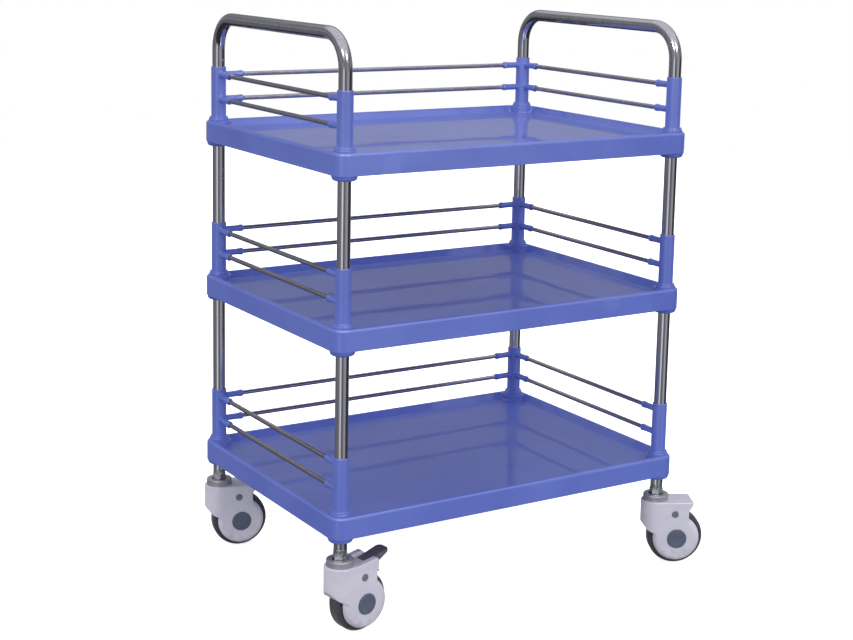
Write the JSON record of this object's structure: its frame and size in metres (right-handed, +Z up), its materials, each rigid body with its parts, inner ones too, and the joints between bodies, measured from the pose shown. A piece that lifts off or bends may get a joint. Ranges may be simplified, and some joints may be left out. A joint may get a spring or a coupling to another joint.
{
  "type": "instrument cart",
  "caption": "Three-tier wheeled instrument cart: blue moulded trays on two stainless hoop frames with guard rails and swivel casters.",
  "frame": {"origin": "on the floor, midway between the four post axes", "axes": "+Z up; +X along the long side towards the right end frame; +Y towards the back rails, so the open front faces -Y"},
  "size_m": [0.7751, 0.5393, 0.98],
  "materials": {
    "polished_tube": "polished stainless tube",
    "rail_rod": "drawn stainless rod",
    "blue_plastic": "glossy moulded ABS",
    "zinc_steel": "bright zinc plate",
    "bearing_steel": "pressed steel",
    "housing_plastic": "satin light grey nylon",
    "hub_plastic": "moulded grey polypropylene",
    "tyre_rubber": "dark soft tread",
    "cap_plastic": "slate cap",
    "plug_plastic": "grey plug",
    "pedal_plastic": "charcoal glass-filled nylon"
  },
  "bodies": {
    "frame": {"left_end_frame": "polished_tube", "right_end_frame": "polished_tube", "upper_tray": "blue_plastic", "upper_back_left_rail_socket": "blue_plastic", "upper_front_left_rail_socket": "blue_plastic", "upper_back_right_rail_socket": "blue_plastic", "upper_front_right_rail_socket": "blue_plastic", "upper_back_rails": "rail_rod", "upper_left_rails": "rail_rod", "upper_right_rails": "rail_rod", "middle_tray": "blue_plastic", "middle_back_left_rail_socket": "blue_plastic", "middle_front_left_rail_socket": "blue_plastic", "middle_back_right_rail_socket": "blue_plastic", "middle_front_right_rail_socket": "blue_plastic", "middle_back_rails": "rail_rod", "middle_left_rails": "rail_rod", "middle_right_rails": "rail_rod", "lower_tray": "blue_plastic", "lower_back_left_rail_socket": "blue_plastic", "lower_front_left_rail_socket": "blue_plastic", "lower_back_right_rail_socket": "blue_plastic", "lower_front_right_rail_socket": "blue_plastic", "lower_back_rails": "rail_rod", "lower_left_rails": "rail_rod", "lower_right_rails": "rail_rod", "caster_stem_plugs": "zinc_steel", "swivel_races": "bearing_steel"},
    "back_left_caster": {"back_left_fork_housing": "housing_plastic", "back_left_axle": "zinc_steel", "back_left_hub_caps": "cap_plastic", "back_left_cover_plugs": "plug_plastic"},
    "back_left_wheel": {"back_left_tyre": "tyre_rubber", "back_left_wheel_hub": "hub_plastic", "back_left_wheel_bearings": "bearing_steel"},
    "front_left_caster": {"front_left_fork_housing": "housing_plastic", "front_left_axle": "zinc_steel", "front_left_hub_caps": "cap_plastic", "front_left_cover_plugs": "plug_plastic", "front_left_brake_pin": "zinc_steel"},
    "front_left_wheel": {"front_left_tyre": "tyre_rubber", "front_left_wheel_hub": "hub_plastic", "front_left_wheel_bearings": "bearing_steel"},
    "front_left_pedal": {"front_left_brake_pedal": "pedal_plastic"},
    "back_right_caster": {"back_right_fork_housing": "housing_plastic", "back_right_axle": "zinc_steel", "back_right_hub_caps": "cap_plastic", "back_right_cover_plugs": "plug_plastic", "back_right_brake_pin": "zinc_steel"},
    "back_right_wheel": {"back_right_tyre": "tyre_rubber", "back_right_wheel_hub": "hub_plastic", "back_right_wheel_bearings": "bearing_steel"},
    "back_right_pedal": {"back_right_brake_pedal": "pedal_plastic"},
    "front_right_caster": {"front_right_fork_housing": "housing_plastic", "front_right_axle": "zinc_steel", "front_right_hub_caps": "cap_plastic", "front_right_cover_plugs": "plug_plastic"},
    "front_right_wheel": {"front_right_tyre": "tyre_rubber", "front_right_wheel_hub": "hub_plastic", "front_right_wheel_bearings": "bearing_steel"}
  },
  "joints": [
    {"name": "back_left_swivel", "type": "hinge", "parent": "frame", "child": "back_left_caster", "pos_m": [-0.328, 0.228, 0.118], "axis": [0, 0, 1], "continuous": true},
    {"name": "back_left_wheel_spin", "type": "hinge", "parent": "back_left_caster", "child": "back_left_wheel", "pos_m": [-0.29287, 0.22015, 0.05], "axis": [0.2181, 0.9759, 0], "continuous": true},
    {"name": "front_left_swivel", "type": "hinge", "parent": "frame", "child": "front_left_caster", "pos_m": [-0.328, -0.228, 0.118], "axis": [0, 0, 1], "continuous": true},
    {"name": "front_left_wheel_spin", "type": "hinge", "parent": "front_left_caster", "child": "front_left_wheel", "pos_m": [-0.29241, -0.22262, 0.05], "axis": [-0.1495, 0.9888, 0], "continuous": true},
    {"name": "front_left_brake", "type": "hinge", "parent": "front_left_caster", "child": "front_left_pedal", "pos_m": [-0.28054, -0.22082, 0.111], "axis": [-0.1495, 0.9888, 0], "range_deg": [0, 10]},
    {"name": "back_right_swivel", "type": "hinge", "parent": "frame", "child": "back_right_caster", "pos_m": [0.328, 0.228, 0.118], "axis": [0, 0, 1], "continuous": true},
    {"name": "back_right_wheel_spin", "type": "hinge", "parent": "back_right_caster", "child": "back_right_wheel", "pos_m": [0.36386, 0.22486, 0.05], "axis": [0.0872, 0.9962, 0], "continuous": true},
    {"name": "back_right_brake", "type": "hinge", "parent": "back_right_caster", "child": "back_right_pedal", "pos_m": [0.37582, 0.22382, 0.111], "axis": [0.0872, 0.9962, 0], "range_deg": [0, 10]},
    {"name": "front_right_swivel", "type": "hinge", "parent": "frame", "child": "front_right_caster", "pos_m": [0.328, -0.228, 0.118], "axis": [0, 0, 1], "continuous": true},
    {"name": "front_right_wheel_spin", "type": "hinge", "parent": "front_right_caster", "child": "front_right_wheel", "pos_m": [0.35979, -0.2449, 0.05], "axis": [0.4695, 0.8829, 0], "continuous": true}
  ]
}
